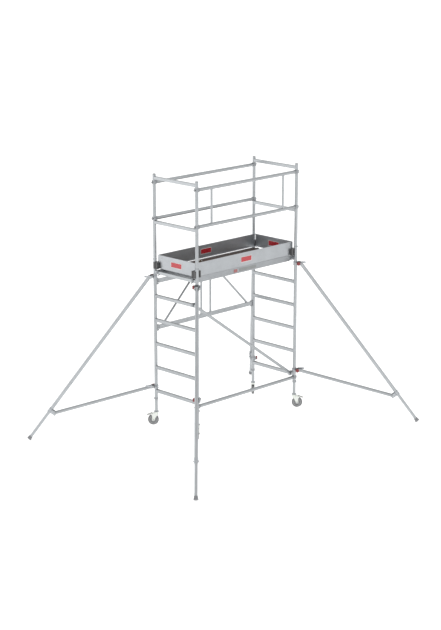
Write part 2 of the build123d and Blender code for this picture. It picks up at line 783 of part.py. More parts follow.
def jaws(z, block_drop):
    """Two half jaws round the upright, with the bolts that close them and a block for the arm."""
    low_z = z - jaw_half
    high_z = z + jaw_half
    half_split = 0.6
    ring = tube((0, 0, low_z), (0, 0, high_z), jaw_r, tube_r + free_gap)
    outer = ring - box((-60, -60, low_z - 1), (half_split, 60, high_z + 1))
    inner = ring - box((-half_split, -60, low_z - 1), (60, 60, high_z + 1))
    bolts = []
    for side in (-1, 1):
        near_y = side * (jaw_r - 3)
        far_y = side * (jaw_r + 14)
        outer += box((half_split, near_y, z - 14), (9, far_y, z + 14))
        inner += box((-half_split, near_y, z - 14), (-9, far_y, z + 14))
        bolt_y = side * (jaw_r + 7)
        bolts.append(rod((-16, bolt_y, z), (16, bolt_y, z), 4))
    outer += box((jaw_r - 3, -12, z - block_drop), (jaw_bolt_s + 2, 12, z + 16))
    outer -= cross_rod((jaw_bolt_s, 0, z), 60, bolt_r)
    for bolt in bolts:
        outer -= bolt
        inner -= bolt
    return [outer, inner, *bolts]


def clamp_knob(z):
    """Fluted knob on the jaw bolt."""
    flutes = 8
    knob = rod((jaw_bolt_s, -52, z), (jaw_bolt_s, -30, z), 21)
    for i in range(flutes):
        angle = 2 * math.pi * i / flutes
        at = (jaw_bolt_s + 23.5 * math.cos(angle), 0, z + 23.5 * math.sin(angle))
        knob -= cross_rod(at, 60, 5.5)
    return knob


def coupler(z, pivot, cheek_outline, block_drop, bar_low):
    """Coupler about the upright: jaws, an arm of two cheeks, its bolts, spacers and knob."""
    bolt_points = ((jaw_bolt_s, 0, z), pivot)
    pieces = jaws(z, block_drop)
    for side in (-1, 1):
        plane = Plane.XZ.offset(-side * (cheek_in + cheek_thick / 2))
        cheek = plate(cheek_outline, plane, cheek_thick)
        if side > 0:
            cheek += box((44, cheek_in, z + bar_low), (121, cheek_in + 14, z + bar_low + 17))
        for point in bolt_points:
            cheek -= cross_rod(point, 60, bolt_r)
        pieces.append(cheek)
        pieces.append(tube((jaw_bolt_s, side * 12, z), (jaw_bolt_s, side * cheek_in, z), 9, bolt_r))
    for point in bolt_points:
        head_start = (point[0], cheek_in + cheek_thick, point[2])
        head_end = (point[0], cheek_in + cheek_thick + 7, point[2])
        stem = rod((point[0], -30, point[2]), (point[0], cheek_in + cheek_thick, point[2]), bolt_r)
        pieces.append(stem + rod(head_start, head_end, 9))
    return pieces + [clamp_knob(z)]


def leg_sleeve():
    """Sleeve on the leg with two ears, and the bolt that holds the strut between them."""
    ear_thick = 3.4
    outline = [
        beside_leg(sleeve_at - 21, 0), beside_leg(sleeve_at - 21, 80),
        beside_leg(sleeve_at + 21, 80), beside_leg(sleeve_at + 21, 0),
    ]
    sleeve = tube(on_leg(sleeve_at - 28), on_leg(sleeve_at + 28), leg_od / 2 + 4, leg_od / 2)
    bolt = cross_rod(strut_end, 28, bolt_r)
    for side in (-1, 1):
        ear = plate(outline, Plane.XZ.offset(-side * (cheek_in + ear_thick / 2)), ear_thick)
        sleeve += ear - rod(on_leg(sleeve_at - 60), on_leg(sleeve_at + 60), leg_od / 2)
        head_start = (strut_foot_s, side * 28, strut_end[2])
        head_end = (strut_foot_s, side * 33, strut_end[2])
        bolt += rod(head_start, head_end, 8)
    return [sleeve - cross_rod(strut_end, 60, bolt_r), bolt]


def outrigger_couplers():
    """Both couplers of an outrigger and the sleeve on its leg."""
    pivot = on_leg(upper_at)
    z = upper_coupler
    pivot_z = pivot[2]
    outline = [
        (28, z - 14), (28, z + 14), (36, z + 17), (76, pivot_z + 14), (87, pivot_z + 6),
        (89, pivot_z - 6), (80, pivot_z - 15), (62, pivot_z - 14),
    ]
    pieces = coupler(z, pivot, outline, 8, -4)
    z = lower_coupler
    outline = [
        (28, z - 14), (28, z + 14), (36, z + 17), (92, z + 9), (97, z - 4), (90, z - 20), (70, z - 22),
        (36, z - 17),
    ]
    pieces += coupler(z, strut_start, outline, 16, 4)
    return pieces + leg_sleeve()


# --- write every node ---------------------------------------------------------
nodes = {
    "frame_connectors": frame_spigots() + frame_lock_clips(),
    "truss_hinges": truss_hinges(),
    "hinge_pins": hinge_pins(),
    "platform_beams": platform_beams(),
    "deck_board": deck_board(),
    "hatch_surround": hatch_surround(),
    "hatch_panel": hatch_panel(),
    "hatch_hinges": hatch_hinges(),
    "platform_hooks": platform_hooks(),
    "uplift_latches": uplift_latches(),
    "toe_board_front": toe_board_long(-1),
    "toe_board_rear": toe_board_long(1),
    "toe_board_clips": toe_board_clips(),
    "front_guard_frame": front_guard_frame(),
    "rear_rails": [rail_tube(half_width, z) for z in side_rail_heights],
    "horizontal_brace": [rail_tube(-half_width, brace_z)],
    "diagonal_brace": diagonal_brace(),
    "rail_claws": rail_claws(),
    "claw_triggers": at_every_claw(claw_trigger),
    "leg_collars": leg_collars() + leg_lock_buttons(),
}
for end_name, end_side in ends.items():
    nodes[f"ladder_{end_name}"] = ladder(end_side)
    nodes[f"guard_frame_{end_name}"] = guard_frame(end_side)
    nodes[f"truss_{end_name}"] = truss_half(end_side)
    nodes[f"toe_board_{end_name}"] = toe_board_end(end_side)

turned_parts = {
    "outrigger_leg": outrigger_leg(),
    "outrigger_foot": outrigger_foot_leg(),
    "outrigger_strut": outrigger_strut(),
    "outrigger_couplers": outrigger_couplers(),
    "castor_leg": castor_leg(),
    "castor_fork": castor_fork(),
    "castor_wheel": castor_wheel(),
    "castor_pedal": castor_pedal(),
}
for corner_name, (_, _, direction) in corners.items():
    at = corner_xy(corner_name)
    for part_name, shapes in turned_parts.items():
        nodes[f"{part_name}_{corner_name}"] = [turn_z(shape, direction, *at) for shape in shapes]

for node_name, node_solids in nodes.items():
    save(node_name, node_solids)
print(len(nodes), "nodes written")
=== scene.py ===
import json
import math
import random

import bmesh
import bpy
from mathutils import Matrix, Vector


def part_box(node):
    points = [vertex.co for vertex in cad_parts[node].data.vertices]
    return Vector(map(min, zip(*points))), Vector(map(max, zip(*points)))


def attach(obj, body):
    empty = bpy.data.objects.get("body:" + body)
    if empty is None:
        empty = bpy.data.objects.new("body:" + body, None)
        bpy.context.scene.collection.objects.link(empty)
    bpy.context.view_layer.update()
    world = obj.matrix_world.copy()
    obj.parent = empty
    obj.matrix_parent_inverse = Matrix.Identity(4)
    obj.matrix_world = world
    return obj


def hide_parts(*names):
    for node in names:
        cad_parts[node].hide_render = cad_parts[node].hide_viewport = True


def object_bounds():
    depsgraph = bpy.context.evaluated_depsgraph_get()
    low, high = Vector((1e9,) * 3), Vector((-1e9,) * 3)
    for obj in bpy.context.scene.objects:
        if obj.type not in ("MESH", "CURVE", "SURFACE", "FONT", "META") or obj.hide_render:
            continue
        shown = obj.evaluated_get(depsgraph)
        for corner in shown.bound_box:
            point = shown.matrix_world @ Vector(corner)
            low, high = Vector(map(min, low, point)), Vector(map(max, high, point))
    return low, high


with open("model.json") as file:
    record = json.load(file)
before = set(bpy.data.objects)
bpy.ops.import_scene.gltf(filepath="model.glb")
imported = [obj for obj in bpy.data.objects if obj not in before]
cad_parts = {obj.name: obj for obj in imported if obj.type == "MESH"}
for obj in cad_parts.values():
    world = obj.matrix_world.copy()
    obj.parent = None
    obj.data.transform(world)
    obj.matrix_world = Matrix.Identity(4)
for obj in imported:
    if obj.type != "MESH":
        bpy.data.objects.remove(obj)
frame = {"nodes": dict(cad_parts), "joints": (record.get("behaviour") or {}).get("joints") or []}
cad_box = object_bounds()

# Mobile tower scaffold. Metres, in the CAD model's frame: X along the platform, Z up.
# Corner letters: a front left, b rear left, c front right, d rear right.
random.seed(7)
nodes = frame["nodes"]
joints = {joint["name"]: joint for joint in frame["joints"]}
corners = "abcd"

# --- places taken from the frame ----------------------------------------------
upright = {c: Vector(joints[f"outrigger_swing_{c}"]["pos_m"]) for c in corners}
half_length = abs(upright["a"].x)
half_width = abs(upright["a"].y)
rail_low, rail_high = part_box("rear_rails")
tube_r = (rail_high.y - rail_low.y) / 2
slide_axis = Vector(joints["outrigger_extend_a"]["axis"])
leg_slope = Vector((math.hypot(slide_axis.x, slide_axis.y), 0, slide_axis.z))
guard_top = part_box("guard_frame_left")[1].z
rung_heights = [0.600 + 0.280 * i for i in range(6)]
end_bar_heights = [2.572, 3.071]
side_rail_heights = [2.611, 3.022]
brace_height = 0.560
rung_half = 0.0175


def corner_matrix(corner):
    """From an outrigger's own axes (X outward, Z up, origin below the upright) to the frame."""
    outward = Vector(joints[f"outrigger_extend_{corner}"]["axis"])
    turn = math.atan2(outward.y, outward.x)
    place = Matrix.Translation((upright[corner].x, upright[corner].y, 0))
    return place @ Matrix.Rotation(turn, 4, "Z")


# --- mesh helpers -------------------------------------------------------------
def new_piece(name, mesh_bm, body, material, smooth_angle=40.0):
    """Turn a bmesh into a piece that rides on a body, with shading smooth up to an angle."""
    bmesh.ops.recalc_face_normals(mesh_bm, faces=mesh_bm.faces)
    mesh = bpy.data.meshes.new(name)
    mesh_bm.to_mesh(mesh)
    mesh_bm.free()
    mesh.shade_smooth()
    mesh.set_sharp_from_angle(angle=math.radians(smooth_angle))
    mesh.materials.append(material)
    obj = bpy.data.objects.new(name, mesh)
    bpy.context.scene.collection.objects.link(obj)
    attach(obj, body)
    return obj


def merge(target, source, matrix=None):
    """Copy one bmesh into another, through a matrix."""
    matrix = matrix or Matrix.Identity(4)
    copied = {v: target.verts.new(matrix @ v.co) for v in source.verts}
    for face in source.faces:
        target.faces.new([copied[v] for v in face.verts])


def axis_matrix(start, end):
    """Z of the result runs from start to end, with its origin at start."""
    start = Vector(start)
    run = Vector(end) - start
    return Matrix.Translation(start) @ run.to_track_quat("Z", "Y").to_matrix().to_4x4()


def turned(profile, start, end, segments=40):
    """Lathe a closed profile of (radius, height) points round the line from start to end."""
    shape = bmesh.new()
    rings = []
    for i in range(segments):
        angle = 2 * math.pi * i / segments
        rings.append([shape.verts.new((r * math.cos(angle), r * math.sin(angle), h)) for r, h in profile])
    for i, ring in enumerate(rings):
        following = rings[(i + 1) % segments]
        for j in range(len(profile)):
            k = (j + 1) % len(profile)
            shape.faces.new((ring[j], following[j], following[k], ring[k]))
    result = bmesh.new()
    merge(result, shape, axis_matrix(start, end))
    shape.free()
    bmesh.ops.remove_doubles(result, verts=result.verts, dist=1e-6)
    return result


def tube(start, end, outer_r, inner_r, chamfer=0.0006, segments=40):
    """Round tube with chamfered rims."""
    length = (Vector(end) - Vector(start)).length
    c = chamfer
    profile = [
        (outer_r - c, 0), (outer_r, c), (outer_r, length - c), (outer_r - c, length),
        (inner_r + c, length), (inner_r, length - c), (inner_r, c), (inner_r + c, 0),
    ]
    return turned(profile, start, end, segments)


def rod(start, end, radius, chamfer=0.0006, segments=32):
    """Solid round bar with chamfered ends and a flat centre."""
    length = (Vector(end) - Vector(start)).length
    core = radius * 0.02
    profile = [
        (core, 0), (radius - chamfer, 0), (radius, chamfer), (radius, length - chamfer),
        (radius - chamfer, length), (core, length),
    ]
    shape = turned(profile, start, end, segments)
    bmesh.ops.holes_fill(shape, edges=[e for e in shape.edges if e.is_boundary], sides=0)
    return shape


def slab(outline, plane, low, high, bevel=0.0):
    """Prism of a 2-D outline. plane says what the outline's two numbers are: 'xy', 'xz' or 'yz'."""
    shape = bmesh.new()
    spots = {"xy": (0, 1, 2), "xz": (0, 2, 1), "yz": (1, 2, 0)}[plane]

    def vertex(point, depth):
        co = [0.0, 0.0, 0.0]
        co[spots[0]], co[spots[1]], co[spots[2]] = point[0], point[1], depth
        return shape.verts.new(co)

    bottom = [vertex(p, low) for p in outline]
    top = [vertex(p, high) for p in outline]
    count = len(outline)
    shape.faces.new(bottom)
    shape.faces.new(top)
    for i in range(count):
        j = (i + 1) % count
        shape.faces.new((bottom[i], bottom[j], top[j], top[i]))
    bmesh.ops.recalc_face_normals(shape, faces=shape.faces)
    if bevel:
        sharp = [e for e in shape.edges if e.calc_face_angle(0) > math.radians(25)]
        bmesh.ops.bevel(shape, geom=sharp, offset=bevel, segments=2, affect="EDGES", clamp_overlap=True)
    return shape


def arc(centre, radius, start, end, steps):
    """Points of an arc, angles in degrees."""
    points = []
    for i in range(steps + 1):
        angle = math.radians(start + (end - start) * i / steps)
        points.append((centre[0] + radius * math.cos(angle), centre[1] + radius * math.sin(angle)))
    return points


def rectangle(x0, y0, x1, y1):
    return [(x0, y0), (x1, y0), (x1, y1), (x0, y1)]


def joined(shapes):
    """One bmesh of several."""
    whole = bmesh.new()
    for shape in shapes:
        merge(whole, shape)
        shape.free()
    return whole


def moved(shape, matrix):
    bmesh.ops.transform(shape, matrix=matrix, verts=shape.verts)
    return shape


def hexagon(centre, plane_radius):
    return arc(centre, plane_radius, 0, 300, 5)


def bolt_head(point, side, size=0.0085, thickness=0.006):
    """Washer and hexagon on the t axis, at a point (s, t, z), facing the given side."""
    s, t, z = point
    washer = rod((s, t, z), (s, t + side * 0.0015, z), size * 1.25)
    t0, t1 = sorted((t + side * 0.0015, t + side * (0.0015 + thickness)))
    head = slab(hexagon((s, z), size), "xz", t0, t1, 0.0008)
    return joined([washer, head])


# --- material nodes -----------------------------------------------------------
class Nodes:
    """Small wrapper that adds and links shader nodes."""

    def __init__(self, name):
        self.material = bpy.data.materials.new(name)
        self.material.use_nodes = True
        self.tree = self.material.node_tree
        self.shader = self.tree.nodes["Principled BSDF"]

    def add(self, kind, **values):
        node = self.tree.nodes.new(kind)
        for key, value in values.items():
            setattr(node, key, value)
        return node

    def link(self, source, target):
        self.tree.links.new(source, target)

    def math(self, operation, a, b=0.0):
        node = self.add("ShaderNodeMath", operation=operation)
        for socket, value in zip(node.inputs, (a, b)):
            if isinstance(value, (int, float)):
                socket.default_value = value
            else:
                self.link(value, socket)
        return node.outputs[0]

    def place(self):
        return self.add("ShaderNodeTexCoord").outputs["Object"]

    def stretched(self, direction, keep):
        """Object coordinates shrunk along a direction, which draws a texture out along it."""
        unit = Vector(direction).normalized()
        place = self.place()
        along = self.add("ShaderNodeVectorMath", operation="DOT_PRODUCT")
        self.link(place, along.inputs[0])
        along.inputs[1].default_value = unit
        amount = self.math("MULTIPLY", along.outputs["Value"], keep - 1)
        shift = self.add("ShaderNodeVectorMath", operation="SCALE")
        shift.inputs[0].default_value = unit
        self.link(amount, shift.inputs["Scale"])
        total = self.add("ShaderNodeVectorMath", operation="ADD")
        self.link(place, total.inputs[0])
        self.link(shift.outputs[0], total.inputs[1])
        return total.outputs[0]

    def noise(self, vector, scale, detail=3.0, roughness=0.5):
        node = self.add("ShaderNodeTexNoise")
        self.link(vector, node.inputs["Vector"])
        node.inputs["Scale"].default_value = scale
        node.inputs["Detail"].default_value = detail
        node.inputs["Roughness"].default_value = roughness
        return node.outputs["Fac"]

    def cells(self, vector, scale):
        """Distance to the nearest of scattered points."""
        node = self.add("ShaderNodeTexVoronoi")
        self.link(vector, node.inputs["Vector"])
        node.inputs["Scale"].default_value = scale
        return node.outputs["Distance"]

    def span(self, value, low, high, out_low=0.0, out_high=1.0):
        """Stretch low..high to out_low..out_high, clamped."""
        node = self.add("ShaderNodeMapRange", clamp=True)
        self.link(value, node.inputs["Value"])
        numbers = {"From Min": low, "From Max": high, "To Min": out_low, "To Max": out_high}
        for socket, number in numbers.items():
            node.inputs[socket].default_value = number
        return node.outputs["Result"]

    def blend(self, factor, colour_a, colour_b):
        node = self.add("ShaderNodeMix", data_type="RGBA", blend_type="MIX")
        if isinstance(factor, (int, float)):
            node.inputs["Factor"].default_value = factor
        else:
            self.link(factor, node.inputs["Factor"])
        for socket, colour in ((node.inputs["A"], colour_a), (node.inputs["B"], colour_b)):
            if isinstance(colour, tuple):
                socket.default_value = (*colour, 1.0)
            else:
                self.link(colour, socket)
        return node.outputs["Result"]

    def bump(self, height, strength, distance, previous=None):
        node = self.add("ShaderNodeBump")
        node.inputs["Strength"].default_value = strength
        node.inputs["Distance"].default_value = distance
        self.link(height, node.inputs["Height"])
        if previous is not None:
            self.link(previous, node.inputs["Normal"])
        return node.outputs["Normal"]

    def set(self, **values):
        """Set or link the shader's sockets; underscores stand for spaces."""
        for key, value in values.items():
            socket = self.shader.inputs[key.replace("_", " ")]
            if isinstance(value, (int, float, tuple)):
                socket.default_value = (*value, 1.0) if isinstance(value, tuple) else value
            else:
                self.link(value, socket)
        return self.material


def shade(colour, factor):
    return tuple(channel * factor for channel in colour)


def aluminium(name, colour, directions, roughness=0.36):
    """Drawn or extruded aluminium: die lines along it, a cloudy oxide, fine scratches and soiled patches.

    directions is one direction, or a pair: the first for uprights at the corners, the second between them."""
    n = Nodes(name)
    place = n.place()
    lines = [n.noise(n.stretched(d, 0.012), 900, 2.0) for d in directions]
    if len(lines) == 2:
        apart = n.add("ShaderNodeSeparateXYZ")
        n.link(place, apart.inputs[0])
        off_middle = n.math("ABSOLUTE", apart.outputs["Y"])
        at_upright = n.math("GREATER_THAN", off_middle, half_width - tube_r - 0.001)
        difference = n.math("SUBTRACT", lines[0], lines[1])
        line = n.math("ADD", n.math("MULTIPLY", difference, at_upright), lines[1])
    else:
        line = lines[0]
    cloud = n.noise(place, 7, 4.0, 0.6)
    soil = n.span(n.noise(place, 23, 6.0, 0.7), 0.56, 0.78)
    fine = n.cells(n.stretched(directions[0], 0.12), 260)
    scratch = n.span(fine, 0.0, 0.035, 1.0, 0.0)
    base = n.blend(n.span(cloud, 0.35, 0.65), shade(colour, 0.94), shade(colour, 1.04))
    base = n.blend(n.span(line, 0.3, 0.7, 0.0, 0.35), base, shade(colour, 0.86))
    base = n.blend(n.math("MULTIPLY", soil, 0.22), base, shade(colour, 0.62))
    base = n.blend(n.math("MULTIPLY", scratch, 0.30), base, shade(colour, 1.15))
    rough = n.span(line, 0.25, 0.75, roughness - 0.07, roughness + 0.07)
    rough = n.math("ADD", rough, n.math("MULTIPLY", soil, 0.16))
    normal = n.bump(line, 0.3, 0.0002)
    normal = n.bump(scratch, 0.12, 0.0001, normal)
    return n.set(Base_Color=base, Metallic=1.0, Roughness=rough, Normal=normal)


def cast_metal(name, colour, roughness=0.5):
    """Sand-cast aluminium: grainy skin, darker in the pits, polished on the high spots."""
    n = Nodes(name)
    place = n.place()
    skin = n.noise(place, 420, 4.0, 0.65)
    lumps = n.noise(place, 60, 3.0)
    pits = n.span(n.cells(place, 520), 0.05, 0.30, 1.0, 0.0)
    base = n.blend(n.span(lumps, 0.35, 0.65), shade(colour, 0.88), shade(colour, 1.08))
    base = n.blend(n.math("MULTIPLY", pits, 0.45), base, shade(colour, 0.55))
    rough = n.span(skin, 0.3, 0.7, roughness - 0.08, roughness + 0.12)
    normal = n.bump(skin, 0.35, 0.0006)
    normal = n.bump(lumps, 0.25, 0.002, normal)
    return n.set(Base_Color=base, Metallic=1.0, Roughness=rough, Normal=normal)


def zinc_steel(name, colour, roughness=0.34):
    """Zinc-plated steel: pale spangle, faint passivation tint and light rub marks."""
    n = Nodes(name)
    place = n.place()
    spangle = n.cells(place, 190)
    tint = n.noise(place, 35, 3.0)
    rub = n.span(n.noise(n.stretched((0, 0, 1), 0.1), 300, 3.0), 0.58, 0.72)
    base = n.blend(n.span(spangle, 0.1, 0.6), shade(colour, 0.95), shade(colour, 1.05))
    base = n.blend(n.span(tint, 0.4, 0.7, 0.0, 0.3), base, (colour[0] * 0.92, colour[1], colour[2] * 0.86))
    base = n.blend(n.math("MULTIPLY", rub, 0.25), base, shade(colour, 0.7))
    rough = n.span(tint, 0.3, 0.7, roughness - 0.06, roughness + 0.1)
    normal = n.bump(spangle, 0.08, 0.0004)
    return n.set(Base_Color=base, Metallic=0.9, Roughness=rough, Normal=normal)


def moulded(name, colour, roughness=0.5, sheen=0.0, scale=900, dust=0.25):
    """Moulded plastic or rubber: fine leather-like grain, scuffs and dust in the hollows."""
    n = Nodes(name)
    place = n.place()
    grain = n.noise(place, scale, 3.0, 0.6)
    patch = n.noise(place, 30, 4.0)
    scuff = n.span(n.noise(n.stretched((1, 1, 0), 0.2), 240, 4.0, 0.7), 0.60, 0.75)
    base = n.blend(n.span(patch, 0.3, 0.7), shade(colour, 0.85), shade(colour, 1.12))
    dusty = tuple(channel * 0.6 + 0.16 for channel in colour)
    base = n.blend(n.math("MULTIPLY", scuff, dust), base, dusty)
    rough = n.span(grain, 0.3, 0.7, roughness - 0.06, roughness + 0.1)
    normal = n.bump(grain, 0.25, 0.0004)
    return n.set(Base_Color=base, Roughness=rough, Normal=normal, Sheen_Weight=sheen)


def deck_plywood(name):
    """Film-faced plywood: dark brown resin film pressed with an anti-slip mesh, plies on the cut edges."""
    n = Nodes(name)
    place = n.place()
    apart = n.add("ShaderNodeSeparateXYZ")
    n.link(place, apart.inputs[0])
    pitch = 0.0065
    waves = []
    for sign in (1, -1):
        diagonal = n.math("ADD", apart.outputs["X"], n.math("MULTIPLY", apart.outputs["Y"], sign * 0.6))
        wave = n.math("SINE", n.math("MULTIPLY", diagonal, 2 * math.pi / pitch))
        waves.append(n.math("ABSOLUTE", wave))
    mesh = n.span(n.math("MINIMUM", *waves), 0.0, 0.35)
    wear = n.noise(place, 9, 5.0, 0.65)
    fibres = n.noise(n.stretched((1, 0, 0), 0.03), 700, 3.0)
    plies = n.math("SINE", n.math("MULTIPLY", apart.outputs["Z"], 2 * math.pi / 0.003))
    film = (0.070, 0.044, 0.034)
    base = n.blend(n.span(wear, 0.35, 0.7), shade(film, 0.8), shade(film, 1.35))
    base = n.blend(n.span(mesh, 0.0, 1.0, 0.45, 0.0), base, shade(film, 0.5))
    base = n.blend(n.span(fibres, 0.5, 0.8, 0.0, 0.2), base, (0.14, 0.10, 0.08))
    geometry = n.add("ShaderNodeNewGeometry")
    facing = n.add("ShaderNodeSeparateXYZ")
    n.link(geometry.outputs["Normal"], facing.inputs[0])
    on_edge = n.span(n.math("ABSOLUTE", facing.outputs["Z"]), 0.3, 0.7, 1.0, 0.0)
    edge = n.blend(n.span(plies, -0.4, 0.4), (0.20, 0.12, 0.07), (0.33, 0.22, 0.13))
    base = n.blend(on_edge, base, edge)
    rough = n.span(wear, 0.3, 0.7, 0.42, 0.62)
    normal = n.bump(mesh, 0.4, 0.0006)
    return n.set(Base_Color=base, Roughness=rough, Normal=normal)


def reflector(name):
    """Red reflector: a glossy lens over a honeycomb of small prisms."""
    n = Nodes(name)
    prisms = n.cells(n.place(), 300)
    base = n.blend(n.span(prisms, 0.05, 0.5), (0.72, 0.02, 0.03), (0.42, 0.01, 0.02))
    normal = n.bump(prisms, 0.2, 0.0008)
    return n.set(Base_Color=base, Roughness=0.22, Normal=normal, Coat_Weight=0.5)


# --- materials of the CAD nodes -----------------------------------------------
tube_colour = (0.423, 0.442, 0.456)
board_colour = (0.415, 0.433, 0.450)
frame_tube = aluminium("frame_tube", tube_colour, [(0, 0, 1), (0, 1, 0)])
long_tube = aluminium("long_tube", tube_colour, [(1, 0, 0)])
truss_bar = aluminium("truss_bar", shade(tube_colour, 0.98), [(1, 0, 0)], roughness=0.4)
beam = aluminium("platform_beam", shade(board_colour, 0.86), [(1, 0, 0)], roughness=0.42)
board_x = aluminium("toe_board_along", board_colour, [(1, 0, 0)], roughness=0.36)
board_y = aluminium("toe_board_across", board_colour, [(0, 1, 0)], roughness=0.36)
# The rear and right toe boards are the same boards as the front and left ones, given a lighter copy of
# board_colour: painted light on their inner faces, which face into the platform.
rear_board_painted_lighter = aluminium("toe_board_rear", shade(board_colour, 1.25), [(1, 0, 0)], roughness=0.42)
right_board_painted_lighter = aluminium("toe_board_right", shade(board_colour, 1.3), [(0, 1, 0)], roughness=0.42)
casting = cast_metal("casting", (0.36, 0.375, 0.39))
coupler_casting = cast_metal("coupler_casting", (0.46, 0.48, 0.50), 0.42)
zinc = zinc_steel("zinc_plate", (0.72, 0.74, 0.71))
bolt_steel = zinc_steel("bolt_steel", (0.42, 0.43, 0.44), 0.3)
black_plastic = moulded("black_nylon", (0.030, 0.031, 0.033), 0.45)
clip_plastic = moulded("clip_grey", (0.075, 0.075, 0.076), 0.42)
cap_plastic = moulded("grey_cap", (0.16, 0.165, 0.17), 0.5)
foot_rubber = moulded("foot_rubber", (0.235, 0.24, 0.25), 0.62, sheen=0.1, scale=600)
tyre_rubber = moulded("tyre_rubber", (0.20, 0.202, 0.205), 0.6, sheen=0.1, scale=700)
core_plastic = moulded("wheel_core", (0.36, 0.365, 0.37), 0.42, scale=1100)
pedal_plastic = moulded("pedal_grey", (0.40, 0.41, 0.39), 0.45)
knob_plastic = moulded("knob_red", (0.24, 0.036, 0.038), 0.38, scale=1200, dust=0.12)
red_lens = reflector("red_lens")
plywood = deck_plywood("deck_plywood")
plate_metal = aluminium("id_plate", (0.30, 0.31, 0.31), [(1, 0, 0)], roughness=0.5)

node_materials = {
    "frame_connectors": casting, "truss_hinges": casting, "hinge_pins": bolt_steel,
    "platform_beams": beam, "deck_board": plywood, "hatch_panel": plywood, "hatch_hinges": zinc,
    "platform_hooks": casting, "hatch_surround": plywood, "uplift_latches": clip_plastic,
    "toe_board_front": board_x,
    "toe_board_rear": rear_board_painted_lighter, "toe_board_left": board_y, "toe_board_right": right_board_painted_lighter,
    "toe_board_clips": clip_plastic, "front_guard_frame": long_tube, "rear_rails": long_tube,
    "horizontal_brace": long_tube, "rail_claws": casting,
    "claw_triggers": casting, "leg_collars": casting, "truss_left": truss_bar, "truss_right": truss_bar,
}
for side in ("left", "right"):
    node_materials[f"ladder_{side}"] = frame_tube
    node_materials[f"guard_frame_{side}"] = frame_tube
brace_low, brace_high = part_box("diagonal_brace")
brace_run = (brace_high.x - brace_low.x, 0, brace_low.z - brace_high.z)
node_materials["diagonal_brace"] = aluminium("brace_tube", tube_colour, [brace_run])
leg_metal = {}
for c in corners:
    leg_axis = joints[f"outrigger_extend_{c}"]["axis"]
    strut_low, strut_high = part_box(f"outrigger_strut_{c}")
    leg_metal[c] = aluminium(f"leg_tube_{c}", shade(tube_colour, 1.08), [leg_axis], roughness=0.34)
    strut_run = (leg_axis[0], leg_axis[1], (strut_low.z - strut_high.z) / (strut_high - strut_low).xy.length)
    node_materials[f"outrigger_leg_{c}"] = leg_metal[c]
    node_materials[f"outrigger_strut_{c}"] = aluminium(f"strut_tube_{c}", tube_colour, [strut_run])
    node_materials[f"castor_leg_{c}"] = aluminium(f"castor_leg_{c}", tube_colour, [(0, 0, 1)])
    node_materials[f"castor_fork_{c}"] = zinc
    node_materials[f"castor_pedal_{c}"] = pedal_plastic
for name, material in node_materials.items():
    mesh = nodes[name].data
    mesh.materials.clear()
    mesh.materials.append(material)


# --- couplers -----------------------------------------------------------------
jaw_height = 0.042
jaw_r = tube_r + 0.007
jaw_bore = tube_r + 0.0003
bolt_s = 0.034
cheek_in = 0.0206
cheek_out = 0.0246


def jaw(z, side):
    """Half jaw: a C round the upright with two bolt lugs. side is 1 for the outward half."""
    half_split = 0.0006
    start = math.degrees(math.asin(half_split / jaw_r))
    outer = arc((0, 0), jaw_r, 90 - start, -90 + start, 28)
    inner = arc((0, 0), jaw_bore, -90 + start, 90 - start, 28)
    outline = [(side * x, y) for x, y in outer + inner]
    low, high = z - jaw_height / 2, z + jaw_height / 2
    parts = [slab(outline, "xy", low, high, 0.0009)]
    for edge_z in (low + 0.003, high - 0.007):
        band = arc((0, 0), jaw_r + 0.0022, 62, -62, 20) + arc((0, 0), jaw_r - 0.001, -62, 62, 20)
        parts.append(slab([(side * x, y) for x, y in band], "xy", edge_z, edge_z + 0.004, 0.0008))
    for t_side in (-1, 1):
        t0, t1 = sorted((t_side * (jaw_r - 0.003), t_side * (jaw_r + 0.014)))
        s0, s1 = sorted((side * half_split, side * 0.009))
        ear = rectangle(s0, z - 0.014, s1, z + 0.014)
        parts.append(slab(ear, "xz", t0, t1, 0.002))
    return joined(parts)


def cheek(outline, side):
    """Side plate of a coupler's arm, with rounded corners."""
    t0, t1 = sorted((side * cheek_in, side * cheek_out))
    return slab(outline, "xz", t0, t1, 0.0009)


def rounded(outline, radius, steps=4):
    """An outline with every corner turned into an arc."""
    points = []
    count = len(outline)
    for i, point in enumerate(outline):
        corner = Vector(point)
        before = Vector(outline[i - 1]) - corner
        after = Vector(outline[(i + 1) % count]) - corner
        cut = min(radius, before.length * 0.45, after.length * 0.45)
        a = corner + before.normalized() * cut
        b = corner + after.normalized() * cut
        for k in range(steps + 1):
            u = k / steps
            points.append(tuple(a * (1 - u) ** 2 + corner * 2 * u * (1 - u) + b * u * u))
    return points


def knob(z):
    """Fluted knob with a domed face, on the -t side."""
    flutes = 8
    back_t = -0.030
    face_t = -0.052
    grip_r = 0.021
    sections = (
        (back_t, 0.90), (back_t - 0.002, 1.0), (face_t + 0.004, 1.0), (face_t + 0.001, 0.90), (face_t, 0.72),
    )
    shape = bmesh.new()
    rings = []
    for t, scale in sections:
        ring = []
        for i in range(flutes * 8):
            angle = 2 * math.pi * i / (flutes * 8)
            radius = grip_r * scale * (1 - 0.10 * max(0.0, math.cos(flutes * angle)) ** 1.5)
            ring.append(shape.verts.new((bolt_s + radius * math.cos(angle), t, z + radius * math.sin(angle))))
        rings.append(ring)
    for lower, upper in zip(rings, rings[1:]):
        for i, vert in enumerate(lower):
            j = (i + 1) % len(lower)
            shape.faces.new((vert, lower[j], upper[j], upper[i]))
    shape.faces.new(rings[0])
    shape.faces.new(rings[-1])
    return shape


